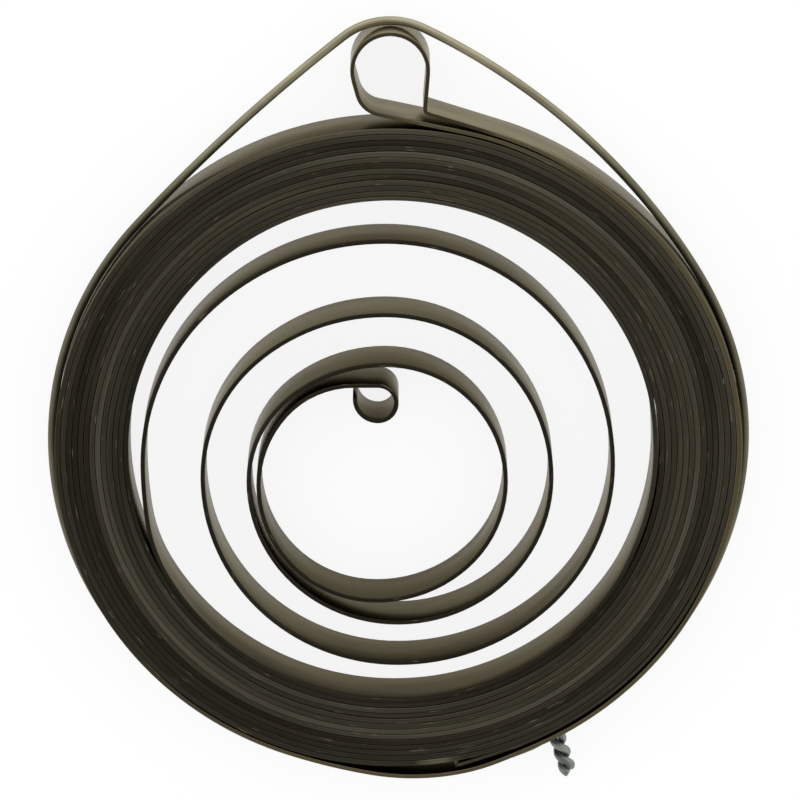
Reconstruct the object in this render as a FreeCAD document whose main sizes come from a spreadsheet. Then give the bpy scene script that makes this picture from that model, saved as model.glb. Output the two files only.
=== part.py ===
import FreeCAD, Part
import math
import os

from FreeCAD import Vector

# Recoil starter spring: a flat spiral of spring steel, held wound by a twisted wire.
# It lies on its side on the XY plane, and the winding axis is the Z axis.

# Driving sizes in millimetres and degrees: name, value, meaning.
SIZES = [
    ("strip_width", 8.0, "width of the steel strip, along the axis"),
    ("strip_thickness", 0.6, "thickness of the steel strip"),
    ("layer_gap", 0.13, "air between two packed layers"),
    ("pack_inner_radius", 33.1, "inner face of the packed turns"),
    ("pack_turns", 13, "whole turns in the pack"),
    ("join_angle", 30.0, "from the left side on to where the loose turns meet the pack"),
    ("top_lean", 1.0, "how far left of the axis the loose turns peak"),
    ("outer_bottom_lean", 0.6, "how far right of the axis the outer loose turn is lowest"),
    ("middle_bottom_lean", 0.6, "the same for the middle one"),
    ("inner_bottom_lean", -2.1, "the same for the inner one"),
    ("outer_turn_drop", 1.6, "how far below the axis the sides of the outer loose turn lie"),
    ("middle_turn_drop", 3.2, "the same for the middle one"),
    ("inner_turn_drop", 3.7, "the same for the inner one"),
    ("end_turn_drop", 4.2, "the same for the end piece"),
    ("outer_left_step", 1.6, "spacing from the pack to the outer loose turn, on the left"),
    ("outer_top_step", 5.35, "the same at the top"),
    ("outer_right_step", 5.45, "the same on the right"),
    ("outer_bottom_step", 5.25, "the same at the bottom"),
    ("middle_left_step", 7.6, "spacing from the outer to the middle loose turn, on the left"),
    ("middle_top_step", 9.6, "the same at the top"),
    ("middle_right_step", 7.8, "the same on the right"),
    ("middle_bottom_step", 5.5, "the same at the bottom"),
    ("inner_left_step", 5.85, "spacing from the middle to the inner loose turn, on the left"),
    ("inner_top_step", 6.55, "the same at the top"),
    ("inner_right_step", 5.8, "the same on the right"),
    ("inner_bottom_step", 3.0, "the same at the bottom"),
    ("end_left_step", 1.25, "spacing from the inner loose turn to the end piece, on the left"),
    ("end_top_step", 2.75, "the same at the top"),
    ("end_run", 3.0, "straight stretch before the inner hook"),
    ("hook_shift", 1.9, "from the axis left to the middle of the inner hook"),
    ("hook_bend_radius", 2.35, "round front of the inner hook"),
    ("hook_return_radius", 2.9, "back of the inner hook, up to its tip"),
    ("eye_shift", 0.85, "from the axis left to the middle of the outer eye"),
    ("eye_width", 11.3, "width of the outer eye between the corners that its top rounds off"),
    ("eye_height", 10.0, "height of the outer eye above its crease"),
    ("crease_rise", 1.05, "from the outermost turn up to the crease"),
    ("crease_inset", 0.8, "from the right corner of the eye in to the crease"),
    ("crease_radius", 0.8, "sharp bend from the outermost turn into the eye"),
    ("heel_inset", 2.65, "from the left corner of the eye in to its heel"),
    ("heel_rise", 0.2, "from the crease up to the heel"),
    ("heel_straight", 0.95, "straight stretch between the eye's round top and its heel"),
    ("tail_end_angle", 280.5, "where the folded tail ends"),
    ("tail_flat", 6.5, "straight end of the folded tail"),
    ("lift_angle", 29.5, "from where the outermost turn lifts, on to the tail's end"),
    ("landing_angle", 14.5, "from the tail's end on to where the turn lies on the tail again"),
    ("wire_diameter", 1.1, "thickness of the retaining wire"),
    ("wire_height", 3.15, "middle of the wire above the lower edge of the strip, at the axis"),
    ("wire_tilt", 0.8, "slope of the wire's loop, up towards the eye"),
    ("wire_clearance", 0.05, "air between the wire and the strip"),
    ("slack_start_angle", 330.0, "where the wire lifts off the outermost turn, low on the right"),
    ("slack_angle", 368.0, "where it stands off furthest, full circle included"),
    ("slack", 0.36, "how far it stands off there"),
    ("right_foot_angle", 32.0, "where the wire turns off towards the eye"),
    ("right_foot_slack", 0.2, "how far it stands off there"),
    ("crest_radius", 9.4, "bend of the wire over the eye"),
    ("left_foot_angle", 137.5, "where the wire comes back to the turns on the left"),
    ("left_foot_slack", 0.15, "how far it stands off there"),
    ("left_contact_angle", 195.0, "where it lies on the turns again"),
    ("twist_offset", 3.0, "from where the turn lands on to the middle of the twist"),
    ("twist_direction", 287.0, "direction in which the twisted ends point"),
    ("twist_spread", 2.5, "from the twist to where each end leaves the ring"),
    ("twist_foot", 2.3, "from the ring out to where the twist starts"),
    ("twist_pitch", 3.6, "length of one full turn of the twist"),
    ("twist_strand_gap", 0.12, "air between the two twisted strands"),
    ("wire_bend_radius", 0.9, "bend of each wire end out of the ring"),
]

# A full turn of the twist is drawn with this many corners, and the twist has this many.
CORNERS_PER_TWIST = 6
TWIST_CORNERS = 8
# Each corner of the twist is rounded over this share of its shorter side.
ROUNDED_SHARE = 0.45
# Each wire end follows the ring for this share of the way to the twist before it bends out.
RING_SHARE = 0.72
# The wire's section has this many sides inside its circle, which keeps the model light.
WIRE_SIDES = 8

doc = FreeCAD.newDocument("recoil_starter_spring")


def make_sheet():
    """The driving sizes as a spreadsheet, one row each."""
    sheet = doc.addObject("Spreadsheet::Sheet", "Sizes")
    for row, (name, value, meaning) in enumerate(SIZES, start=1):
        sheet.set("A%d" % row, name)
        sheet.set("B%d" % row, str(value))
        sheet.set("C%d" % row, meaning)
        sheet.setAlias("B%d" % row, name)
    doc.recompute()
    return sheet


sheet = make_sheet()


def size(name):
    """One driving size, read from the sheet."""
    return float(sheet.get(name))


def polar(angle, radius=1.0, centre=Vector()):
    """The point at this angle and radius round the centre."""
    turn = math.radians(angle)
    return centre + Vector(math.cos(turn), math.sin(turn), 0) * radius


def direction_of(vector):
    """The direction of a flat vector, in degrees."""
    return math.degrees(math.atan2(vector.y, vector.x))


def tangent_offset(centre, radius, other):
    """Angle between the line to the other point and the radius where its tangent touches."""
    return math.degrees(math.acos(radius / (other - centre).Length))


class Arc:
    """A stretch of a circle, anticlockwise where its sweep is positive."""

    def __init__(self, centre, radius, first, sweep):
        self.centre = centre
        self.radius = radius
        self.first = first
        self.sweep = sweep

    def curve(self, offset=0.0):
        """The arc moved to the left of its travel by the offset."""
        radius = self.radius - math.copysign(1, self.sweep) * offset
        low, high = sorted((self.first, self.first + self.sweep))
        circle = Part.Circle(self.centre, Vector(0, 0, 1), radius)
        return Part.ArcOfCircle(circle, math.radians(low), math.radians(high))

    def reversed(self):
        return Arc(self.centre, self.radius, self.first + self.sweep, -self.sweep)

    def length(self):
        return self.radius * math.radians(abs(self.sweep))


class Run:
    """A straight stretch."""

    def __init__(self, start, end):
        self.start = start
        self.end = end

    def curve(self, offset=0.0):
        """The stretch moved to the left of its travel by the offset."""
        aside = polar(direction_of(self.end - self.start) + 90, offset)
        return Part.LineSegment(self.start + aside, self.end + aside)

    def reversed(self):
        return Run(self.end, self.start)

    def length(self):
        return (self.end - self.start).Length


class Route:
    """A flat chain of tangent arcs and straight runs, laid end to end."""

    def __init__(self, point, heading):
        self.point = point
        self.heading = heading
        self.pieces = []

    def run(self, length):
        """Go straight on."""
        end = self.point + polar(self.heading, length)
        self.pieces.append(Run(self.point, end))
        self.point = end

    def turn(self, radius, sweep):
        """Bend by the sweep, anticlockwise where it is positive."""
        side = math.copysign(90, sweep)
        centre = self.point + polar(self.heading + side, radius)
        first = self.heading - side
        self.pieces.append(Arc(centre, radius, first, sweep))
        self.point = polar(first + sweep, radius, centre)
        self.heading += sweep

    def arc_to(self, point):
        """Bend so that the arc ends at the point."""
        chord = point - self.point
        half = (direction_of(chord) - self.heading + 180) % 360 - 180
        self.turn(chord.Length / (2 * math.sin(math.radians(abs(half)))), 2 * half)

    def blend_to(self, point, heading):
        """Reach the point and the heading by two arcs with equal tangents."""
        chord = point - self.point
        leave = polar(self.heading)
        arrive = polar(heading)
        straight = chord.dot(leave + arrive)
        spread = 2 * chord.dot(chord) * (1 - leave.dot(arrive))
        tangent = chord.dot(chord) / (straight + math.sqrt(straight ** 2 + spread))
        self.arc_to((self.point + leave * tangent + point - arrive * tangent) / 2)
        self.arc_to(point)

    def round_corner(self, corner, target, radius):
        """Go towards the corner and bend there, to head for the target."""
        sweep = (direction_of(target - corner) - self.heading + 180) % 360 - 180
        cut = radius * math.tan(math.radians(abs(sweep) / 2))
        self.run((corner - self.point).Length - cut)
        self.turn(radius, sweep)


# Sizes that follow from the driving ones.
half_strip = size("strip_thickness") / 2
pitch = size("strip_thickness") + size("layer_gap")
inner_radius = size("pack_inner_radius") + half_strip
turns = int(size("pack_turns"))
wire_radius = size("wire_diameter") / 2

# The pack is a spiral of half turns about two centres, half a pitch apart.
seam_angle = size("join_angle")
start_angle = 180 + seam_angle
lower_centre = polar(seam_angle, pitch / 4)
upper_centre = polar(start_angle, pitch / 4)
pack_start = polar(start_angle, inner_radius, lower_centre)


def lower_radius(layer):
    """Centre line of a layer in the half turn below the seam; 0 is the innermost."""
    return inner_radius + layer * pitch


def upper_radius(layer):
    """Centre line of a layer in the half turn above the seam."""
    return inner_radius + (layer + 0.5) * pitch


# The folded tail lies where one more layer would be, and the turn over it lies outside.
tail_layer = turns
cover_layer = turns + 1
tail_end_angle = size("tail_end_angle")
tail_tip_radius = math.hypot(lower_radius(tail_layer), size("tail_flat"))
tail_flat_angle = math.degrees(math.atan(size("tail_flat") / lower_radius(tail_layer)))
lift_angle = tail_end_angle - size("lift_angle")
landing_angle = tail_end_angle + size("landing_angle")

# The eye stands on the outermost turn.
eye_right = size("eye_width") / 2 - size("eye_shift")
eye_left = eye_right - size("eye_width")
cover_radius = upper_radius(cover_layer)
crease = Vector(eye_right - size("crease_inset"), upper_centre.y, 0)
crease.y += math.sqrt(cover_radius ** 2 - (crease.x - upper_centre.x) ** 2) + size("crease_rise")
eye_top = crease.y + size("eye_height")
top_right = Vector(eye_right, eye_top, 0)
top_left = Vector(eye_left, eye_top, 0)
heel = Vector(eye_left + size("heel_inset"), crease.y + size("heel_rise"), 0)
right_bend = 180 - direction_of(top_right - crease)
left_bend = 180 + direction_of(heel - top_left)
right_cut = math.tan(math.radians(right_bend / 2))
left_cut = math.tan(math.radians(left_bend / 2))
eye_radius = size("eye_width") / (right_cut + left_cut)
eye_middle = Vector(eye_right - eye_radius * right_cut, eye_top - eye_radius, 0)

# Where the strip leaves the pack for the eye, and where its tail comes back.
leave_angle = direction_of(crease - upper_centre)
leave_angle -= tangent_offset(upper_centre, cover_radius, crease)
tail_radius = upper_radius(tail_layer)
return_angle = direction_of(heel - upper_centre)
return_angle -= tangent_offset(upper_centre, tail_radius, heel)
tail_start = polar(return_angle, tail_radius, upper_centre)

# The heel's bend takes up what the eye's round top and the straight stretch leave.
heel_bend = direction_of(tail_start - heel) - direction_of(heel - top_left)
heel_cut = (heel - top_left).Length - eye_radius * left_cut - size("heel_straight")
heel_radius = heel_cut / math.tan(math.radians(heel_bend / 2))


def loose_route():
    """The strip from the pack inwards: three loose turns and the inner hook."""
    route = Route(pack_start, start_angle - 90)
    reach = {side: inner_radius for side in ("left", "top", "right", "bottom")}
    reach["left"] -= size("outer_left_step")
    route.blend_to(Vector(-reach["left"], -size("outer_turn_drop"), 0), 90)
    for turn, sides in (
        ("outer", ("top", "right", "bottom")),
        ("middle", ("left", "top", "right", "bottom")),
        ("inner", ("left", "top", "right", "bottom")),
        ("end", ("left",)),
    ):
        drop = size(turn + "_turn_drop")
        lean = size(turn + "_bottom_lean") if "bottom" in sides else 0
        for side in sides:
            reach[side] -= size(turn + "_" + side + "_step")
            peak = {
                "left": Vector(-reach["left"], -drop, 0),
                "top": Vector(-size("top_lean"), reach["top"], 0),
                "right": Vector(reach["right"], -drop, 0),
                "bottom": Vector(lean, -reach["bottom"], 0),
            }[side]
            route.blend_to(peak, route.heading - 90)
    hook_top = reach["top"] - size("end_top_step")
    route.blend_to(Vector(-size("hook_shift") - size("end_run"), hook_top, 0), 0)
    route.run(size("end_run"))
    route.turn(size("hook_bend_radius"), -180)
    route.turn(size("hook_return_radius"), -90)
    return route


def pack_route():
    """The packed turns from the inside out."""
    route = Route(pack_start, start_angle + 90)
    for layer in range(turns):
        route.turn(lower_radius(layer), 180)
        route.turn(upper_radius(layer), 180)
    return route


def lift_over_tail(route):
    """The outermost turn rises over the tail's end and lies down on the tail."""
    over_tip = tail_tip_radius + pitch
    route.blend_to(polar(tail_end_angle, over_tip, lower_centre), tail_end_angle + 90)
    landing = polar(landing_angle, lower_radius(cover_layer), lower_centre)
    route.blend_to(landing, landing_angle + 90)


def outer_route():
    """The outermost turn, the eye and the tail folded back under the turn."""
    route = Route(pack_start + polar(start_angle, tail_layer * pitch), start_angle + 90)
    route.turn(lower_radius(tail_layer), lift_angle - start_angle)
    lift_over_tail(route)
    route.turn(lower_radius(cover_layer), start_angle + 180 - landing_angle)
    route.turn(cover_radius, leave_angle - seam_angle)
    route.round_corner(crease, top_right, size("crease_radius"))
    route.round_corner(top_right, top_left, eye_radius)
    route.round_corner(top_left, heel, eye_radius)
    route.round_corner(heel, tail_start, heel_radius)
    route.run((tail_start - route.point).Length)
    route.turn(tail_radius, seam_angle - return_angle)
    route.turn(lower_radius(tail_layer), tail_end_angle - 360 + tail_flat_angle - seam_angle)
    route.run(size("tail_flat"))
    return route


def add_profile(body, pieces):
    """A closed sketch on the body's XY plane: both faces of the strip and its two ends."""
    plane = [item for item in body.Origin.OriginFeatures if item.Role == "XY_Plane"][0]
    sketch = body.newObject("Sketcher::SketchObject", "StripProfile")
    sketch.AttachmentSupport = (plane, [""])
    sketch.MapMode = "FlatFace"
    faces = []
    for offset in (half_strip, -half_strip):
        faces.append([piece.curve(offset) for piece in pieces])
    ends = []
    for piece, at_end in ((pieces[0], False), (pieces[-1], True)):
        corners = [end_point(piece, offset, at_end) for offset in (half_strip, -half_strip)]
        ends.append(Part.LineSegment(*corners))
    sketch.addGeometry(faces[0] + faces[1] + ends, False)
    return sketch


def end_point(piece, offset, at_end):
    """Where a piece starts or ends once it is moved aside by the offset."""
    if isinstance(piece, Run):
        curve = piece.curve(offset)
        return curve.EndPoint if at_end else curve.StartPoint
    angle = piece.first + piece.sweep if at_end else piece.first
    radius = piece.radius - math.copysign(1, piece.sweep) * offset
    return polar(angle, radius, piece.centre)


def make_spring():
    """The steel strip: one outline, as tall as the strip is wide."""
    loose = [piece.reversed() for piece in reversed(loose_route().pieces)]
    pieces = loose + pack_route().pieces + outer_route().pieces
    body = doc.addObject("PartDesign::Body", "SpiralSpring")
    body.Label = "spiral_spring"
    sketch = add_profile(body, pieces)
    pad = body.newObject("PartDesign::Pad", "Strip")
    pad.Profile = sketch
    pad.setExpression("Length", "Sizes.strip_width")
    sketch.Visibility = False
    return body, sum(piece.length() for piece in pieces)


def bow(foot, outward, crest_middle, crest_radius):
    """The arc that leaves the foot square to outward and closes round the crest.

    Returns its radius and the angle at which it meets the crest.
    """
    across = foot - crest_middle
    lean = across.dot(polar(outward)) - crest_radius
    radius = (across.dot(across) - crest_radius ** 2) / (2 * lean)
    centre = foot - polar(outward, radius)
    return radius, direction_of(crest_middle - centre)


def ring_route():
    """The wire's flat loop, from one side of the twist round over the eye to the other."""
    stand_off = half_strip + size("wire_clearance") + wire_radius
    crest_radius = size("crest_radius")
    crest_middle = Vector(eye_middle.x, eye_top + stand_off - crest_radius, 0)
    middle_angle = landing_angle + size("twist_offset")

    outer = upper_radius(cover_layer) + stand_off
    right_angle = size("right_foot_angle")
    right_foot = polar(right_angle, outer + size("right_foot_slack"), upper_centre)
    right_radius, right_crest = bow(right_foot, right_angle, crest_middle, crest_radius)

    inner = upper_radius(turns - 1) + stand_off
    left_angle = size("left_foot_angle")
    left_foot = polar(left_angle, inner + size("left_foot_slack"), upper_centre)
    left_radius, left_crest = bow(left_foot, left_angle, crest_middle, crest_radius)

    first = middle_angle + size("twist_spread")
    ring_radius = lower_radius(cover_layer) + stand_off
    route = Route(polar(first, ring_radius, lower_centre), first + 90)
    route.turn(ring_radius, size("slack_start_angle") - first)
    furthest = polar(size("slack_angle"), ring_radius + size("slack"), lower_centre)
    route.blend_to(furthest, size("slack_angle") + 90)
    route.blend_to(right_foot, right_angle + 90)
    route.turn(right_radius, right_crest - right_angle)
    route.turn(crest_radius, left_crest - right_crest)
    route.turn(left_radius, left_angle - left_crest)
    contact_angle = size("left_contact_angle")
    route.blend_to(polar(contact_angle, inner, upper_centre), contact_angle + 90)
    route.turn(inner, start_angle - contact_angle)
    route.turn(lower_radius(tail_layer) + stand_off, lift_angle - start_angle)
    strip = Route(polar(lift_angle, lower_radius(tail_layer), lower_centre), lift_angle + 90)
    lift_over_tail(strip)
    for piece in strip.pieces:
        route.turn(piece.radius + stand_off, piece.sweep)
    route.turn(ring_radius, middle_angle - size("twist_spread") - landing_angle)
    return route, polar(middle_angle, ring_radius, lower_centre)


def strand_corners(leave, heading, ring_point, side):
    """Corner points of one wire end: out of the ring, then round the other end.

    The side is -1 for the end that starts left of the twist and 1 for the other.
    """
    along = polar(size("twist_direction"))
    across = polar(size("twist_direction") + 90)
    reach = (ring_point - leave).Length
    corners = [leave, leave + polar(heading, reach * RING_SHARE)]
    strand_radius = wire_radius + size("twist_strand_gap") / 2
    strand_radius /= math.cos(math.pi / CORNERS_PER_TWIST)
    for corner in range(TWIST_CORNERS):
        phase = 2 * math.pi * corner / CORNERS_PER_TWIST
        sway = across * (side * strand_radius * math.cos(phase))
        lift = Vector(0, 0, -side * strand_radius * math.sin(phase))
        forward = size("twist_foot") + size("twist_pitch") * corner / CORNERS_PER_TWIST
        corners.append(ring_point + along * forward + sway + lift)
    return corners


def rounded_edges(corners, first_radius):
    """Straight runs joined by tangent arcs, the first bend with a radius of its own."""
    edges = []
    start = corners[0]
    for index in range(1, len(corners) - 1):
        corner = corners[index]
        back = (corners[index - 1] - corner).normalize()
        onward = (corners[index + 1] - corner).normalize()
        half = back.getAngle(onward) / 2
        runs = [(corners[index + step] - corner).Length for step in (-1, 1)]
        radius = first_radius if index == 1 else ROUNDED_SHARE * min(runs) * math.tan(half)
        cut = radius / math.tan(half)
        entry = corner + back * cut
        leave = corner + onward * cut
        middle = corner + (back + onward).normalize() * (radius / math.sin(half) - radius)
        edges.append(Part.LineSegment(start, entry).toShape())
        edges.append(Part.Arc(entry, middle, leave).toShape())
        start = leave
    edges.append(Part.LineSegment(start, corners[-1]).toShape())
    return edges


def make_wire():
    """The retaining wire: its section swept along the ring and both twisted ends."""
    route, ring_point = ring_route()
    lie = FreeCAD.Placement(
        Vector(0, 0, size("wire_height")), FreeCAD.Rotation(Vector(1, 0, 0), size("wire_tilt")))
    last = rounded_edges(
        strand_corners(route.point, route.heading, ring_point, -1), size("wire_bend_radius"))
    first_arc = route.pieces[0]
    first_point = polar(first_arc.first, first_arc.radius, first_arc.centre)
    first = rounded_edges(
        strand_corners(first_point, first_arc.first - 90, ring_point, 1), size("wire_bend_radius"))
    ring = [piece.curve().toShape() for piece in route.pieces]
    path = Part.Wire(Part.__sortEdges__(first + ring + last))
    path.Placement = lie

    spine = doc.addObject("Part::Feature", "WirePath")
    spine.Shape = path
    start = lie.multVec(first[-1].Vertexes[-1].Point)
    inward = lie.multVec(first[-1].Vertexes[0].Point) - start
    section = doc.addObject("Part::RegularPolygon", "WireSection")
    section.Polygon = WIRE_SIDES
    section.setExpression("Circumradius", "Sizes.wire_diameter / 2")
    section.Placement = FreeCAD.Placement(start, FreeCAD.Rotation(Vector(0, 0, 1), inward))
    wire = doc.addObject("Part::Sweep", "RetainingWire")
    wire.Label = "retaining_wire"
    wire.Sections = [section]
    wire.Spine = spine
    wire.Solid = True
    wire.Frenet = False
    wire.Transition = "Transformed"
    return wire, path.Length


spring, strip_length = make_spring()
wire, wire_length = make_wire()
doc.recompute()

for item in doc.Objects:
    if "Invalid" in item.State or "Error" in item.State:
        raise RuntimeError("%s did not build" % item.Label)
for item in (spring, wire):
    if item.Shape.isNull() or not item.Shape.isValid():
        raise RuntimeError("%s has no valid shape" % item.Label)

print("strip length %.1f mm" % strip_length)
print("strip volume against section times length: %.5f" % (
    spring.Shape.Volume / (strip_length * size("strip_thickness") * size("strip_width"))))
section_area = WIRE_SIDES / 2 * math.sin(2 * math.pi / WIRE_SIDES) * wire_radius ** 2
print("wire length %.1f mm" % wire_length)
print("wire volume against section times length: %.5f" % (
    wire.Shape.Volume / (wire_length * section_area)))

os.makedirs("parts", exist_ok=True)
for item in (spring, wire):
    item.Shape.exportStep("parts/%s.step" % item.Label)
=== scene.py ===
import math

import bpy
from mathutils import Matrix, Vector, noise


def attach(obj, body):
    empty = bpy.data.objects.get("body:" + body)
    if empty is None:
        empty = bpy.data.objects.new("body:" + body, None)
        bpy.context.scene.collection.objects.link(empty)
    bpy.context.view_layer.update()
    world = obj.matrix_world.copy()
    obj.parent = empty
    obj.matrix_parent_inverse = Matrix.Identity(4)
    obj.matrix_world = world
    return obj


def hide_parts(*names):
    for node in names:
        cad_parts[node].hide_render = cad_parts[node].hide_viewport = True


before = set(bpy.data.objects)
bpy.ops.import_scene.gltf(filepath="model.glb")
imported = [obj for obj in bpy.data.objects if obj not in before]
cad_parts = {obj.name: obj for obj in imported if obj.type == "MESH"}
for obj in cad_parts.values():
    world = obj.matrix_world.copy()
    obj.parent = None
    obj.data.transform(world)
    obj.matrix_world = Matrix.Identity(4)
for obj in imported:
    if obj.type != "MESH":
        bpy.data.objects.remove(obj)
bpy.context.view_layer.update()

# Lengths are in millimetres until a mesh is made, and then in metres. The angles are in degrees,
# and a running angle counts on from turn to turn.
MM = 0.001

# The strip's route repeats the values of the part's source, with a sharper crease and heel.
THICKNESS = 0.6
HALF = THICKNESS / 2
PITCH = 0.73
TURNS = 13
INNER = 33.1 + HALF
SEAM = 30.0
START = 180 + SEAM
TAIL_END = 280.5
TAIL_FLAT = 6.5
LIFT = TAIL_END - 29.5
LANDING = TAIL_END + 14.5
EYE_WIDTH = 11.3
EYE_HEIGHT = 10.0
EYE_RIGHT = EYE_WIDTH / 2 - 0.85
EYE_LEFT = EYE_RIGHT - EYE_WIDTH
CREASE_RISE = 1.05
CREASE_INSET = 0.8
CREASE_BEND = 0.5
HEEL_INSET = 2.65
HEEL_RISE = 0.2
HEEL_STRAIGHT = 1.9

# Loose turns: drop of the sides, lean of the bottom to the right, then the spacing inwards
# on the left, top, right and bottom.
LOOSE = (
    (1.6, 0.6, (1.6, 5.35, 5.45, 5.25)),
    (3.2, 0.6, (7.6, 9.6, 7.8, 5.5)),
    (3.7, -2.1, (5.85, 6.55, 5.8, 3.0)),
    (4.2, 0.0, (1.25,)),
)
TOP_LEAN = 1.0
END_TOP = 2.75
END_RUN = 3.0
HOOK_SHIFT = 1.9
HOOK_BEND = 2.35
HOOK_RETURN = 2.9

# The retaining wire lies as in the part's source, a little nearer to the strip, and its twist
# starts nearer to the ring.
WIRE = 1.1
CLEARANCE = 0.01
STAND_OFF = HALF + CLEARANCE + WIRE / 2
WIRE_HEIGHT = 3.15
WIRE_TILT = 0.8
SLACK_START = 330.0
SLACK_ANGLE = 368.0
SLACK = 0.33
RIGHT_FOOT = 32.0
RIGHT_SLACK = 0.17
CREST_RADIUS = 9.4
LEFT_FOOT = 137.5
LEFT_SLACK = 0.02
LEFT_CONTACT = 195.0
TWIST_OFFSET = 3.0
TWIST_DIRECTION = 287.0
TWIST_SPREAD = 2.5
TWIST_FOOT = 1.4
TWIST_PITCH = 3.9
TWIST_RADIUS = 0.58
# The left end of the wire bows out of the ring before it reaches the twist.
BOW_FROM = 272.0
BOW_TO = 294.0
BOW = 0.85
# How far its two ends reach from the ring, and how strongly their bends are drawn out of the
# ring and into the twist.
FIRST_REACH = 5.85
LAST_REACH = 6.25
PULL_OUT = 3.6
PULL_IN = 3.2
# The cut ends have this share of the girth.
END_GIRTH = 0.86

# The strip's section. Packed turns grow inwards until they touch, more so where they are slack.
WIDTH = 8.0
DRAWN_HALF = 0.28
PACKED_OUT = 0.02
PACKED_IN = 0.145
SLACK_SHARE = 0.08
EYE_SLIM = 0.035
EDGE_RADIUS = 0.13
PACKED_EDGE = 0.03
# Play of the lower and upper edge: depth, length of a wave along the strip, row of the noise.
# The tail's end lies deeper.
LOW_PLAY = (0.14, 170.0, 3.1)
HIGH_PLAY = (0.12, 110.0, 7.7)
TAIL_RECESS = 0.5
# The innermost packed turn stands off here, by running angle.
SLIT = (341, 362)
SLIT_FADE = 14
SLIT_DEPTH = 0.18

# Fineness of the meshes: longest step along a path, most bend in a step, points round the wire,
# parts of the bend at its ends and of each turn of the twist.
STRIP_STEP = 1.3
STRIP_BEND = 9
WIRE_STEP = 0.9
WIRE_BEND = 3
WIRE_SIDES = 16
BEND_PARTS = 12
HELIX_PARTS = 26

# Soft bands in the brightness of the near edge: change, first and last value, fade. The bands by
# angle are painted light and shade: brighter near the top, darker on the left and at the bottom.
RADIUS_BANDS = ((0.12, 36.5, 38.4, 0.9), (-0.16, 40.0, 41.2, 0.8))
ANGLE_BANDS = ((0.14, 62, 92, 36), (-0.1, 155, 190, 40), (-0.06, 225, 320, 30))
# By running angle: a bright spot on the edge of the turn below the tail's end, and a painted
# reflection that brightens the rim of the last packed turn left of the eye, where it is
# outermost.
RUN_BANDS = ((1.2, 4596.0, 4599.5, 1.6), (0.35, 4772.0, 4806.0, 22))
# Near-edge tones: the outermost turn's rim, brightened by a painted reflection, and the free
# turns.
OUTERMOST_TONE = 0.62
FREE_TONE = 0.3


def polar(angle, radius=1.0, centre=(0, 0)):
    turn = math.radians(angle)
    return Vector((centre[0] + radius * math.cos(turn), centre[1] + radius * math.sin(turn)))


def direction(vector):
    return math.degrees(math.atan2(vector[1], vector[0]))


def wrapped(angle):
    return (angle + 180) % 360 - 180


def smooth(value, low, high):
    t = min(1.0, max(0.0, (value - low) / (high - low)))
    return t * t * (3 - 2 * t)


def bump_between(value, first, last, fade):
    """1 between the two values, fading to 0 outside them."""
    return smooth(value, first - fade, first) * (1 - smooth(value, last, last + fade))


class Route:
    """A flat chain of tangent arcs and straight runs; each piece is (length, curvature, step)."""

    def __init__(self, point, heading, step=STRIP_STEP):
        self.marks = {}
        self.point = Vector(point)
        self.heading = heading
        self.start = (Vector(point), heading)
        self.step = step
        self.pieces = []

    def length(self):
        return sum(piece[0] for piece in self.pieces)

    def run(self, length):
        self.pieces.append((length, 0.0, self.step))
        self.point = self.point + polar(self.heading, length)

    def turn(self, radius, sweep):
        side = math.copysign(90, sweep)
        centre = self.point + polar(self.heading + side, radius)
        curvature = math.copysign(1 / radius, sweep)
        self.pieces.append((radius * math.radians(abs(sweep)), curvature, self.step))
        self.point = polar(self.heading - side + sweep, radius, centre)
        self.heading += sweep

    def arc_to(self, point):
        chord = point - self.point
        half = wrapped(direction(chord) - self.heading)
        self.turn(chord.length / (2 * math.sin(math.radians(abs(half)))), 2 * half)

    def blend_to(self, point, heading):
        point = Vector(point)
        chord = point - self.point
        leave = polar(self.heading)
        arrive = polar(heading)
        straight = chord.dot(leave + arrive)
        spread = 2 * chord.dot(chord) * (1 - leave.dot(arrive))
        tangent = chord.dot(chord) / (straight + math.sqrt(straight ** 2 + spread))
        self.arc_to((self.point + leave * tangent + point - arrive * tangent) / 2)
        self.arc_to(point)

    def round_corner(self, corner, target, radius):
        sweep = wrapped(direction(target - corner) - self.heading)
        cut = radius * math.tan(math.radians(abs(sweep) / 2))
        self.run((corner - self.point).length - cut)
        self.turn(radius, sweep)

    def samples(self, bend_step):
        """Points, headings in radians and lengths along the route, closer in tight bends."""
        x, y = self.start[0]
        heading = math.radians(self.start[1])
        travelled = 0.0
        rows = [(x, y, heading, 0.0)]
        for length, curvature, step in self.pieces:
            fine = step
            if curvature:
                fine = min(step, math.radians(bend_step) / abs(curvature))
            parts = max(1, math.ceil(length / fine))
            part = length / parts
            for _ in range(parts):
                if curvature:
                    bent = heading + part * curvature
                    x += (math.sin(bent) - math.sin(heading)) / curvature
                    y -= (math.cos(bent) - math.cos(heading)) / curvature
                    heading = bent
                else:
                    x += part * math.cos(heading)
                    y += part * math.sin(heading)
                travelled += part
                rows.append((x, y, heading, travelled))
        return rows


LOWER = polar(SEAM, PITCH / 4)
UPPER = polar(START, PITCH / 4)
PACK_START = polar(START, INNER, LOWER)


def lower_radius(layer):
    return INNER + layer * PITCH


def upper_radius(layer):
    return INNER + (layer + 0.5) * PITCH


def loose_route():
    """From the pack inwards, as far as the tip of the inner hook."""
    route = Route(PACK_START, START - 90)
    reach = [INNER] * 4
    first = True
    for drop, lean, steps in LOOSE:
        for side, step in enumerate(steps):
            reach[side] -= step
            peak = (
                (-reach[0], -drop),
                (-TOP_LEAN, reach[1]),
                (reach[2], -drop),
                (lean, -reach[3]),
            )[side]
            route.blend_to(peak, 90 if first else route.heading - 90)
            first = False
    route.blend_to((-HOOK_SHIFT - END_RUN, reach[1] - END_TOP), 0)
    route.run(END_RUN)
    route.turn(HOOK_BEND, -180)
    route.turn(HOOK_RETURN, -90)
    return route


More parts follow.
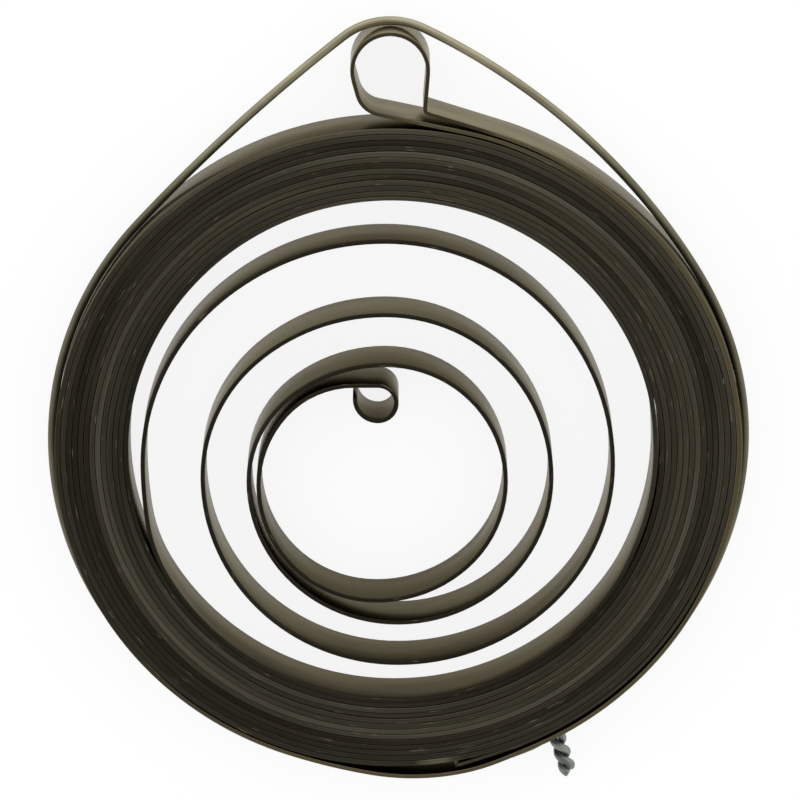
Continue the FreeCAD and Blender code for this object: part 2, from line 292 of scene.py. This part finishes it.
def lift_over_tail(route):
    tip_radius = math.hypot(lower_radius(TURNS), TAIL_FLAT)
    route.blend_to(polar(TAIL_END, tip_radius + PITCH, LOWER), TAIL_END + 90)
    route.blend_to(polar(LANDING, lower_radius(TURNS + 1), LOWER), LANDING + 90)


class Eye:
    """Corner points and bends of the outer eye."""

    def __init__(self):
        cover = upper_radius(TURNS + 1)
        crease_x = EYE_RIGHT - CREASE_INSET
        rise = math.sqrt(cover ** 2 - (crease_x - UPPER[0]) ** 2) + CREASE_RISE
        self.crease = Vector((crease_x, UPPER[1] + rise))
        self.top = self.crease[1] + EYE_HEIGHT
        self.top_right = Vector((EYE_RIGHT, self.top))
        self.top_left = Vector((EYE_LEFT, self.top))
        self.heel = Vector((EYE_LEFT + HEEL_INSET, self.crease[1] + HEEL_RISE))
        right_bend = 180 - direction(self.top_right - self.crease)
        left_bend = 180 + direction(self.heel - self.top_left)
        right_cut = math.tan(math.radians(right_bend / 2))
        left_cut = math.tan(math.radians(left_bend / 2))
        self.radius = EYE_WIDTH / (right_cut + left_cut)
        self.middle_x = EYE_RIGHT - self.radius * right_cut
        tail_radius = upper_radius(TURNS)
        self.back = direction(self.heel - UPPER)
        self.back -= math.degrees(math.acos(tail_radius / (self.heel - UPPER).length))
        self.tail_start = polar(self.back, tail_radius, UPPER)
        heel_bend = direction(self.tail_start - self.heel) - direction(self.heel - self.top_left)
        heel_cut = (self.heel - self.top_left).length - self.radius * left_cut - HEEL_STRAIGHT
        self.heel_radius = heel_cut / math.tan(math.radians(heel_bend / 2))
        self.leave = direction(self.crease - UPPER)
        self.leave -= math.degrees(math.acos(cover / (self.crease - UPPER).length))


EYE = Eye()


def outward_route():
    """From the pack's start outwards: the pack, the outermost turn, the eye and the tail."""
    route = Route(PACK_START, START + 90)
    for layer in range(TURNS):
        route.turn(lower_radius(layer), 180)
        route.turn(upper_radius(layer), 180)
    route.turn(lower_radius(TURNS), LIFT - START)
    route.marks["lift"] = route.length()
    lift_over_tail(route)
    route.marks["landing"] = route.length()
    route.turn(lower_radius(TURNS + 1), START + 180 - LANDING)
    route.turn(upper_radius(TURNS + 1), EYE.leave - SEAM)
    route.marks["eye"] = route.length()
    route.round_corner(EYE.crease, EYE.top_right, CREASE_BEND)
    route.round_corner(EYE.top_right, EYE.top_left, EYE.radius)
    route.round_corner(EYE.top_left, EYE.heel, EYE.radius)
    route.round_corner(EYE.heel, EYE.tail_start, EYE.heel_radius)
    route.run((EYE.tail_start - route.point).length)
    route.marks["tail"] = route.length()
    route.turn(upper_radius(TURNS), SEAM - EYE.back)
    flat_angle = math.degrees(math.atan(TAIL_FLAT / lower_radius(TURNS)))
    route.turn(lower_radius(TURNS), TAIL_END - 360 + flat_angle - SEAM)
    route.run(TAIL_FLAT)
    return route


def strip_rows():
    """Samples of the whole strip, from the inner hook to the tail's end."""
    inward = loose_route().samples(STRIP_BEND)
    total = inward[-1][3]
    rows = []
    for x, y, heading, travelled in reversed(inward):
        rows.append((x, y, heading + math.pi, total - travelled))
    outward = outward_route()
    for x, y, heading, travelled in outward.samples(STRIP_BEND)[1:]:
        rows.append((x, y, heading, total + travelled))
    marks = {name: total + length for name, length in outward.marks.items()}
    marks["pack"] = total
    marks["end"] = rows[-1][3]
    return rows, marks


def bow(foot, outward, crest_middle):
    """Radius of the arc from the foot to the wire's crest, and the angle where it ends."""
    across = foot - crest_middle
    lean = across.dot(polar(outward)) - CREST_RADIUS
    radius = (across.dot(across) - CREST_RADIUS ** 2) / (2 * lean)
    centre = foot - polar(outward, radius)
    return radius, direction(crest_middle - centre)


def ring_route():
    """The wire's flat loop, from one side of the twist round over the eye to the other."""
    crest = Vector((EYE.middle_x, EYE.top + STAND_OFF - CREST_RADIUS))
    middle = LANDING + TWIST_OFFSET
    outer = upper_radius(TURNS + 1) + STAND_OFF
    right_foot = polar(RIGHT_FOOT, outer + RIGHT_SLACK, UPPER)
    right_radius, right_crest = bow(right_foot, RIGHT_FOOT, crest)
    inner = upper_radius(TURNS - 1) + STAND_OFF
    left_foot = polar(LEFT_FOOT, inner + LEFT_SLACK, UPPER)
    left_radius, left_crest = bow(left_foot, LEFT_FOOT, crest)
    first = middle + TWIST_SPREAD
    ring = lower_radius(TURNS + 1) + STAND_OFF
    route = Route(polar(first, ring, LOWER), first + 90, WIRE_STEP)
    route.turn(ring, SLACK_START - first)
    route.blend_to(polar(SLACK_ANGLE, ring + SLACK, LOWER), SLACK_ANGLE + 90)
    route.blend_to(right_foot, RIGHT_FOOT + 90)
    route.turn(right_radius, right_crest - RIGHT_FOOT)
    route.turn(CREST_RADIUS, left_crest - right_crest)
    route.turn(left_radius, LEFT_FOOT - left_crest)
    route.blend_to(polar(LEFT_CONTACT, inner, UPPER), LEFT_CONTACT + 90)
    route.turn(inner, START - LEFT_CONTACT)
    route.turn(lower_radius(TURNS) + STAND_OFF, LIFT - START)
    strip = Route(polar(LIFT, lower_radius(TURNS), LOWER), LIFT + 90)
    lift_over_tail(strip)
    for length, curvature, _ in strip.pieces:
        route.turn(1 / curvature + STAND_OFF, math.degrees(length * curvature))
    return route, polar(middle, ring, LOWER)


def edge_play(travelled, depth, wave, row):
    """Ups and downs along the strip, by at most the depth."""
    return depth * noise.noise((travelled / wave, row, 0.0))


def edge_heights(travelled, marks):
    """Lower and upper edge of the strip: turns stand a little above or below each other."""
    low = LOW_PLAY[0] + edge_play(travelled, *LOW_PLAY)
    high = WIDTH - HIGH_PLAY[0] + edge_play(travelled, *HIGH_PLAY)
    high -= TAIL_RECESS * (1 - smooth(marks["end"] - travelled, 18, 45))
    return max(0.0, low), min(WIDTH, high)


def closeness(travelled, marks):
    """1 where the turns lie packed on each other, 0 where the strip stands free."""
    packed = smooth(travelled, marks["pack"] - 15, marks["pack"] + 25)
    packed *= 1 - bump_between(travelled, marks["lift"] - 12, marks["landing"] + 25, 12)
    packed *= 1 - bump_between(travelled, marks["eye"] - 4, marks["tail"] + 4, 8)
    return packed * smooth(marks["end"] - travelled, 25, 60)


def outermost(travelled, marks):
    """1 on the outermost turn and the eye, 0 on the rest of the strip."""
    begun = smooth(travelled, marks["lift"] - 30, marks["lift"])
    return begun * (1 - smooth(travelled, marks["tail"], marks["tail"] + 25))


def set_off(unwrapped):
    """How far the innermost packed turn stands in from the next, by its running angle."""
    return SLIT_DEPTH * bump_between(unwrapped, *SLIT, SLIT_FADE)


def slackness(x, y):
    """How far the outermost turn stands out: the turns lie less tightly on the right."""
    angle = direction((x, y))
    return SLACK * smooth(angle, -32, 6) * (1 - smooth(angle, 13, 47))


def slackened(x, y):
    """Each point moves out with its radius."""
    radius = math.hypot(x, y)
    share = min(1.0, max(0.0, (radius - INNER) / (lower_radius(TURNS + 1) - INNER)))
    out = share * slackness(x, y)
    return x * (1 + out / radius), y * (1 + out / radius)


def banded(value, bands):
    """Sum of the changes that soft bands make at this value."""
    return sum(band[0] * bump_between(value, *band[1:]) for band in bands)


def edge_tone(x, y, unwrapped, travelled, marks):
    """Brightness of the near edge: dark on free turns, in soft bands over the pack, with painted
    light and shade by angle, a painted reflection on the outermost rim and a painted highlight on
    the tail's cut end.
    """
    radius = math.hypot(x, y)
    tone = 0.58 - 0.2 * (1 - smooth(radius, 33.4, 35.2))
    tone += banded(radius, RADIUS_BANDS)
    # Painted light and shade by angle around the coil.
    tone += banded(direction((x, y)) % 360, ANGLE_BANDS)
    tone += banded(unwrapped, RUN_BANDS)
    # A painted reflection brightens the outermost turn's rim.
    tone += (OUTERMOST_TONE - tone) * outermost(travelled, marks)
    free = smooth(travelled, marks["eye"], marks["eye"] + 2)
    free *= 1 - smooth(travelled, marks["tail"] - 13, marks["tail"] - 7)
    free += 1 - smooth(travelled, marks["pack"] - 60, marks["pack"])
    tone += (FREE_TONE - tone) * free
    # The tail's last stretch is brighter again, and its cut end brightest as a painted highlight
    # on its lit end face.
    tone += 0.3 * smooth(travelled, marks["end"] - 50, marks["end"] - 25)
    tone += 0.3 * smooth(travelled, marks["end"] - 1.6, marks["end"] - 0.4)
    return tone


def wall_tone(x, y, travelled, marks):
    """Brightness of the broad sides: darker before the hook, with painted shade along the bottom
    and where the outermost turn lifts over the tail, and a painted reflection that brightens the
    outermost turn and the eye.
    """
    tone = 0.32 - 0.2 * bump_between(travelled, 10, 42, 4)
    # Painted shade along the bottom and in the gap where the outermost turn lifts over the tail.
    tone -= 0.09 * bump_between(direction((x, y)) % 360, 230, 310, 30)
    tone -= 0.14 * bump_between(travelled, marks["lift"], marks["landing"], 10)
    # A painted reflection brightens the walls of the outermost turn and the eye.
    bright = smooth(travelled, marks["landing"] + 60, marks["landing"] + 120)
    bright *= outermost(travelled, marks)
    return tone + (1.2 - tone) * bright


def strip_section(left, right, low, high, edge):
    """Corner points of the rolled strip's section: offset to the left, height."""
    points = []
    for side, level, first in (
        (left - edge, high - edge, 0),
        (-right + edge, high - edge, 90),
        (-right + edge, low + edge, 180),
        (left - edge, low + edge, 270),
    ):
        for step in (0, 30, 60, 90):
            turn = math.radians(first + step)
            points.append((side + edge * math.cos(turn), level + edge * math.sin(turn)))
    return points


def placed(name, data):
    """A new object in the scene."""
    item = bpy.data.objects.new(name, data)
    bpy.context.scene.collection.objects.link(item)
    return item


def tube_mesh(name, rings, material, point_masks, tone):
    """A closed tube through rings of points.

    Its UV maps hold length and girth, masks for each point (the painted reflection on the outer
    rim, the edge, the twisted wire ends), and the tone of each ring, which carries painted light
    and shade.
    """
    count = len(rings[0])
    vertices = [point for ring in rings for point in ring]
    faces, corners = [], []
    travelled = [0.0]
    for before, after in zip(rings, rings[1:]):
        travelled.append(travelled[-1] + (Vector(after[0]) - Vector(before[0])).length)
    for row in range(len(rings) - 1):
        girth = 0.0
        for index in range(count):
            following = (index + 1) % count
            a = row * count
            b = a + count
            faces.append((a + index, a + following, b + following, b + index))
            width = (Vector(rings[row][following]) - Vector(rings[row][index])).length
            for step, across, key in (
                (row, girth, a + index),
                (row, girth + width, a + following),
                (row + 1, girth + width, b + following),
                (row + 1, girth, b + index),
            ):
                corners.append((travelled[step], across, key))
            girth += width
    for row, order in ((0, -1), (len(rings) - 1, 1)):
        cap = [row * count + index for index in range(count)][::order]
        faces.append(tuple(cap))
        for key in cap:
            corners.append((travelled[row], 0.0, key))
    mesh = bpy.data.meshes.new(name)
    mesh.from_pydata(vertices, [], faces)
    along = mesh.uv_layers.new(name="along")
    mask_layer = mesh.uv_layers.new(name="point_masks")
    toned = mesh.uv_layers.new(name="tone")
    for index, (length, across, key) in enumerate(corners):
        along.data[index].uv = (length, across)
        mask_layer.data[index].uv = point_masks[key]
        toned.data[index].uv = tone[key // count]
    mesh.materials.append(material)
    mesh.polygons.foreach_set("use_smooth", [True] * len(mesh.polygons))
    return placed(name, mesh)


def make_strip(material):
    rows, marks = strip_rows()
    rings, point_masks, tones = [], [], []
    # Which points of the section belong to an edge: the others lie on the broad sides.
    edge_part = [0, 1, 1, 1, 1, 1, 1, 0] * 2
    for x, y, heading, travelled in rows:
        left = Vector((-math.sin(heading), math.cos(heading)))
        low, high = edge_heights(travelled, marks)
        packed = closeness(travelled, marks)
        unwrapped = math.degrees(heading) - 90
        slim = EYE_SLIM * bump_between(travelled, marks["eye"], marks["tail"] - 12, 3)
        outer_half = DRAWN_HALF + PACKED_OUT * packed - slim
        # The pack's first turn has none inside it to touch, so it doesn't grow.
        within = smooth(unwrapped, START + 350, START + 360)
        inner_half = DRAWN_HALF + PACKED_IN * packed * within - slim
        inner_half += SLACK_SHARE * slackness(x, y) * packed
        edge = EDGE_RADIUS + PACKED_EDGE * packed
        # Mask of the painted reflection that turns the outermost turn's rim golden.
        rim_sheen = outermost(travelled, marks)
        near = edge_tone(x, y, unwrapped, travelled, marks)
        tones.append((near, wall_tone(x, y, travelled, marks)))
        if travelled > marks["pack"]:
            shift = set_off(unwrapped)
            x += left[0] * shift
            y += left[1] * shift
            x, y = slackened(x, y)
        # The coil runs anticlockwise with its inner side on the left; the tail runs back.
        sides = (inner_half, outer_half)
        if travelled > marks["tail"]:
            sides = (outer_half, DRAWN_HALF + PACKED_IN * packed)
        ring = []
        for index, (offset, height) in enumerate(strip_section(*sides, low, high, edge)):
            ring.append(((x + left[0] * offset) * MM, (y + left[1] * offset) * MM, height * MM))
            point_masks.append((rim_sheen, edge_part[index]))
        rings.append(ring)
    return tube_mesh("spiral_spring_strip", rings, material, point_masks, tones)


def strand(leave, heading, ring_point, side, reach):
    """One wire end: out of the ring in an easy bend, then round the other end."""
    along = polar(TWIST_DIRECTION).to_3d()
    across = polar(TWIST_DIRECTION + 90).to_3d()
    up = Vector((0, 0, 1))
    base = ring_point.to_3d()

    def helix(phase):
        forward = TWIST_FOOT + TWIST_PITCH * phase / (2 * math.pi)
        sway = across * (side * TWIST_RADIUS * math.cos(phase))
        return base + along * forward + sway - up * (side * TWIST_RADIUS * math.sin(phase))

    start = leave.to_3d()
    landing = helix(0)
    out = polar(heading).to_3d() * PULL_OUT
    arrive = (along * TWIST_PITCH / (2 * math.pi) - up * side * TWIST_RADIUS).normalized()
    arrive *= PULL_IN
    points = []
    for step in range(1, BEND_PARTS + 1):
        t = step / BEND_PARTS
        points.append(
            start * (2 * t ** 3 - 3 * t ** 2 + 1) + out * (t ** 3 - 2 * t ** 2 + t)
            + landing * (3 * t ** 2 - 2 * t ** 3) + arrive * (t ** 3 - t ** 2))
    turns = (reach - TWIST_FOOT) / TWIST_PITCH
    parts = math.ceil(turns * HELIX_PARTS)
    for step in range(1, parts + 1):
        points.append(helix(2 * math.pi * turns * step / parts))
    return points


def tube_rings(points, radius):
    """Rings of points square to the wire's path, without twist between neighbours."""
    rings = []
    tangent = (points[1] - points[0]).normalized()
    aside = tangent.orthogonal().normalized()
    for index, point in enumerate(points):
        ahead = points[min(index + 1, len(points) - 1)]
        behind = points[max(index - 1, 0)]
        onward = (ahead - behind).normalized()
        aside = (aside - onward * aside.dot(onward)).normalized()
        up = onward.cross(aside)
        girth = radius(index)
        ring = []
        for side in range(WIRE_SIDES):
            turn = 2 * math.pi * side / WIRE_SIDES
            away = aside * math.cos(turn) + up * math.sin(turn)
            ring.append(tuple((point + away * girth) * MM))
        rings.append(ring)
    return rings


def make_wire(material):
    route, ring_point = ring_route()
    ring = []
    for x, y, _, travelled in route.samples(WIRE_BEND):
        angle = direction((x, y)) % 360
        late = travelled > route.length() / 2
        if late and angle > BOW_TO:
            break
        out = BOW * smooth(angle, BOW_FROM, BOW_TO) if late else 0.0
        ring.append(Vector((x, y, 0)) + polar(angle, out).to_3d())
    first = strand(route.start[0], route.start[1] + 180, ring_point, 1, FIRST_REACH)
    leaving = direction(ring[-1] - ring[-2])
    last = strand(ring[-1].to_2d(), leaving, ring_point, -1, LAST_REACH)
    path = first[::-1] + ring + last
    lie = Matrix.Rotation(math.radians(WIRE_TILT), 3, "X")
    path = [lie @ point + Vector((0, 0, WIRE_HEIGHT)) for point in path]
    final = len(path) - 1
    first_end = len(first)
    last_end = final - len(last)

    def radius(index):
        return WIRE / 2 * (END_GIRTH if index in (0, final) else 1.0)

    rings = tube_rings(path, radius)
    point_masks, tones = [], []
    for index, point in enumerate(path):
        # Painted light: the wire is brighter towards its crest over the eye and at the lower left
        # of the ring.
        crest = smooth(point[1], 26, 54)
        low_left = bump_between(direction(point) % 360, 225, 285, 20)
        tones.append((0.4 + 0.6 * crest + 0.45 * low_left, 0.0))
        twisted = max(
            1 - smooth(index, first_end - 8, first_end + 3),
            smooth(index, last_end - 3, last_end + 8))
        point_masks += [(0.0, twisted)] * WIRE_SIDES
    return tube_mesh("retaining_wire_round", rings, material, point_masks, tones)


class Nodes:
    """A material's node tree, built by short calls."""

    def __init__(self, name):
        self.material = bpy.data.materials.new(name)
        self.material.use_nodes = True
        self.tree = self.material.node_tree
        self.shader = self.tree.nodes["Principled BSDF"]

    def add(self, kind, values=None, **settings):
        node = self.tree.nodes.new(kind)
        for key, value in settings.items():
            setattr(node, key, value)
        for key, value in (values or {}).items():
            if isinstance(value, bpy.types.NodeSocket):
                self.tree.links.new(value, node.inputs[key])
            else:
                node.inputs[key].default_value = value
        return node

    def math(self, operation, first, second=0.0):
        return self.add("ShaderNodeMath", {0: first, 1: second}, operation=operation).outputs[0]

    def uv(self, name):
        return self.add("ShaderNodeUVMap", uv_map=name).outputs[0]

    def parts(self, name):
        """The two values of a UV map."""
        return self.add("ShaderNodeSeparateXYZ", {0: self.uv(name)}).outputs

    def noise(self, along, across, detail=2.0, roughness=0.5):
        """Noise with so many cells to the metre along and across the surface."""
        values = {"Vector": self.uv("along"), "Scale": (along, across, 1)}
        place = self.add("ShaderNodeMapping", values).outputs[0]
        values = {"Vector": place, "Scale": 1.0, "Detail": detail, "Roughness": roughness}
        return self.add("ShaderNodeTexNoise", values, noise_dimensions="2D").outputs[0]

    def ramp(self, factor, stops):
        node = self.add("ShaderNodeValToRGB", {0: factor})
        ramp = node.color_ramp
        while len(ramp.elements) < len(stops):
            ramp.elements.new(0.5)
        for element, (place, colour) in zip(ramp.elements, stops):
            element.position = place
            if not isinstance(colour, tuple):
                colour = (colour,) * 3
            element.color = (*colour, 1)
        return node.outputs[0]

    def mix(self, factor, first, second, blend="MIX"):
        values = {0: factor, 6: first, 7: second}
        for key in (6, 7):
            if isinstance(values[key], tuple):
                values[key] = (*values[key], 1)
        return self.add("ShaderNodeMix", values, data_type="RGBA", blend_type=blend).outputs[2]

    def link(self, output, socket):
        self.tree.links.new(output, self.shader.inputs[socket])


def steel_material():
    n = Nodes("spring_steel")
    rim_sheen, edge = n.parts("point_masks")[:2]
    edge_brightness, wall_brightness = n.parts("tone")[:2]
    slow = n.noise(6.0, 0.0)
    cloud = n.noise(45.0, 160.0, 4, 0.6)
    streak = n.noise(60.0, 9000.0, 3, 0.65)
    fleck = n.noise(260.0, 2600.0)
    blotch = n.noise(22.0, 130.0, 3, 0.55)
    wall = n.ramp(slow, ((0.36, (0.17, 0.156, 0.122)), (0.64, (0.42, 0.385, 0.3))))
    wall = n.mix(0.75, wall, n.ramp(blotch, (
        (0.38, (0.2, 0.21, 0.2)), (0.5, (0.5, 0.5, 0.46)), (0.6, (0.7, 0.7, 0.65)))), "OVERLAY")
    # The wall tone carries painted shade and a painted reflection.
    wall = n.mix(1.0, wall, wall_brightness, "MULTIPLY")
    wall = n.mix(0.35, wall, n.ramp(cloud, ((0.3, 0.35), (0.7, 0.75))), "OVERLAY")
    wall = n.mix(0.3, wall, n.ramp(streak, ((0.3, 0.3), (0.7, 0.75))), "OVERLAY")
    rim = n.ramp(slow, (
        (0.3, (0.045, 0.038, 0.025)), (0.43, (0.112, 0.095, 0.066)),
        (0.54, (0.08, 0.075, 0.051)), (0.68, (0.165, 0.148, 0.108))))
    # Painted reflection: the outermost turn's rim turns golden.
    rim = n.mix(rim_sheen, rim, (0.2, 0.167, 0.095))
    # The edge tone carries painted light and shade, a painted reflection on the outer rim and a
    # painted highlight on the tail's cut end.
    rim = n.mix(1.0, rim, edge_brightness, "MULTIPLY")
    rim = n.mix(0.5, rim, n.ramp(streak, ((0.3, 0.25), (0.7, 0.8))), "OVERLAY")
    rim = n.mix(n.ramp(fleck, ((0.7, 0.0), (0.78, 0.7))), rim, (0.2, 0.17, 0.12))
    n.link(n.mix(edge, wall, rim), "Base Color")
    n.shader.inputs["Metallic"].default_value = 1.0
    n.shader.inputs["Specular Tint"].default_value = (0.71, 0.665, 0.56, 1)
    wall_roughness = n.ramp(cloud, ((0.25, 0.17), (0.75, 0.3)))
    rim_roughness = n.ramp(cloud, ((0.25, 0.36), (0.75, 0.52)))
    n.link(n.mix(edge, wall_roughness, rim_roughness), "Roughness")
    height = n.math("ADD", n.math("MULTIPLY", streak, 0.6), n.math("MULTIPLY", cloud, 0.4))
    bump = n.add("ShaderNodeBump", {"Height": height, "Strength": 0.25, "Distance": 0.00005})
    n.link(bump.outputs[0], "Normal")
    return n.material


def wire_material():
    n = Nodes("soft_wire")
    twisted = n.parts("point_masks")[1]
    cloud = n.noise(120.0, 500.0, 4, 0.6)
    streak = n.noise(90.0, 7000.0, 3, 0.6)
    ring = n.ramp(cloud, ((0.3, (0.27, 0.245, 0.155)), (0.7, (0.42, 0.385, 0.265))))
    bright = n.ramp(cloud, ((0.3, (0.16, 0.172, 0.152)), (0.7, (0.28, 0.298, 0.272))))
    # The tone carries painted light along the ring.
    ring = n.mix(1.0, ring, n.parts("tone")[0], "MULTIPLY")
    colour = n.mix(twisted, ring, bright)
    colour = n.mix(0.35, colour, n.ramp(streak, ((0.3, 0.3), (0.7, 0.75))), "OVERLAY")
    n.link(colour, "Base Color")
    n.shader.inputs["Metallic"].default_value = 1.0
    n.link(n.ramp(cloud, ((0.25, 0.32), (0.75, 0.5))), "Roughness")
    bump = n.add("ShaderNodeBump", {"Height": streak, "Strength": 0.3, "Distance": 0.00005})
    n.link(bump.outputs[0], "Normal")
    return n.material


strip = make_strip(steel_material())
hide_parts("spiral_spring")
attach(strip, "root")

wire = make_wire(wire_material())
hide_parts("retaining_wire")
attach(wire, "root")

# Camera: the photograph's angle, distance and lens, with its focal length in pixels.
TILT = math.radians(17.4)
DISTANCE = 0.6879
TARGET = Vector((0.0009, 0.00483, 0.0))
IMAGE_WIDTH = 800
FOCAL_LENGTH = 5370
SENSOR = 36.0
camera_data = bpy.data.cameras.new("camera")
camera_data.sensor_width = SENSOR
camera_data.lens = FOCAL_LENGTH * SENSOR / IMAGE_WIDTH
camera = placed("camera", camera_data)
camera.location = TARGET + Vector((0, math.sin(TILT), math.cos(TILT))) * DISTANCE
camera.rotation_euler = (-TILT, 0, 0)
bpy.context.scene.camera = camera


# The floor, and its white glow: shares seen directly and in a reflection, and strength.
SEEN = 0.8
REFLECTED = 0.62
GLOW = 1.08
FLOOR_HALF = 2


def seen_white(tree, plain, glow):
    """Mix in a white glow where a surface is seen directly or, less, in a reflection."""
    path = tree.nodes.new("ShaderNodeLightPath")
    total = None
    for name, share in (
        ("Is Camera Ray", SEEN),
        ("Is Glossy Ray", REFLECTED),
        ("Is Transmission Ray", REFLECTED),
    ):
        add = tree.nodes.new("ShaderNodeMath")
        add.operation = "MULTIPLY_ADD"
        tree.links.new(path.outputs[name], add.inputs[0])
        add.inputs[1].default_value = share
        add.inputs[2].default_value = 0.0
        if total:
            tree.links.new(total, add.inputs[2])
        total = add.outputs[0]
    mix = tree.nodes.new("ShaderNodeMixShader")
    tree.links.new(total, mix.inputs[0])
    tree.links.new(plain, mix.inputs[1])
    tree.links.new(glow, mix.inputs[2])
    return mix.outputs[0]


floor_corners = [
    (across * FLOOR_HALF, back * FLOOR_HALF, 0)
    for across, back in ((-1, -1), (1, -1), (1, 1), (-1, 1))
]
floor_mesh = bpy.data.meshes.new("floor")
floor_mesh.from_pydata(floor_corners, [], [(0, 1, 2, 3)])
floor = placed("floor", floor_mesh)
floor_material = bpy.data.materials.new("floor")
floor_material.use_nodes = True
tree = floor_material.node_tree
plain = tree.nodes["Principled BSDF"]
plain.inputs["Base Color"].default_value = (0.9, 0.9, 0.9, 1)
plain.inputs["Roughness"].default_value = 0.9
glow = tree.nodes.new("ShaderNodeEmission")
glow.inputs["Strength"].default_value = GLOW
surface = seen_white(tree, plain.outputs[0], glow.outputs[0])
tree.links.new(surface, tree.nodes["Material Output"].inputs[0])
floor_mesh.materials.append(floor_material)

world = bpy.data.worlds.new("world")
bpy.context.scene.world = world
world.use_nodes = True


def sky(tree):
    """A plain white tent: brighter low down and towards the back, darker overhead."""
    place = tree.nodes.new("ShaderNodeTexCoord")
    parts = tree.nodes.new("ShaderNodeSeparateXYZ")
    tree.links.new(place.outputs["Generated"], parts.inputs[0])
    ramp = tree.nodes.new("ShaderNodeMapRange")
    for name, value in (("From Min", 0.0), ("From Max", 1.0), ("To Min", 1.5), ("To Max", 0.5)):
        ramp.inputs[name].default_value = value
    tree.links.new(parts.outputs["Z"], ramp.inputs["Value"])
    side = tree.nodes.new("ShaderNodeMath")
    side.operation = "MULTIPLY_ADD"
    tree.links.new(parts.outputs["Y"], side.inputs[0])
    side.inputs[1].default_value = 0.3
    side.inputs[2].default_value = 1.0
    strength = tree.nodes.new("ShaderNodeMath")
    strength.operation = "MULTIPLY"
    tree.links.new(ramp.outputs["Result"], strength.inputs[0])
    tree.links.new(side.outputs[0], strength.inputs[1])
    background = tree.nodes["Background"]
    background.inputs["Color"].default_value = (1, 1, 1, 1)
    tree.links.new(strength.outputs[0], background.inputs["Strength"])


sky(world.node_tree)

bpy.context.scene.view_settings.view_transform = "Standard"
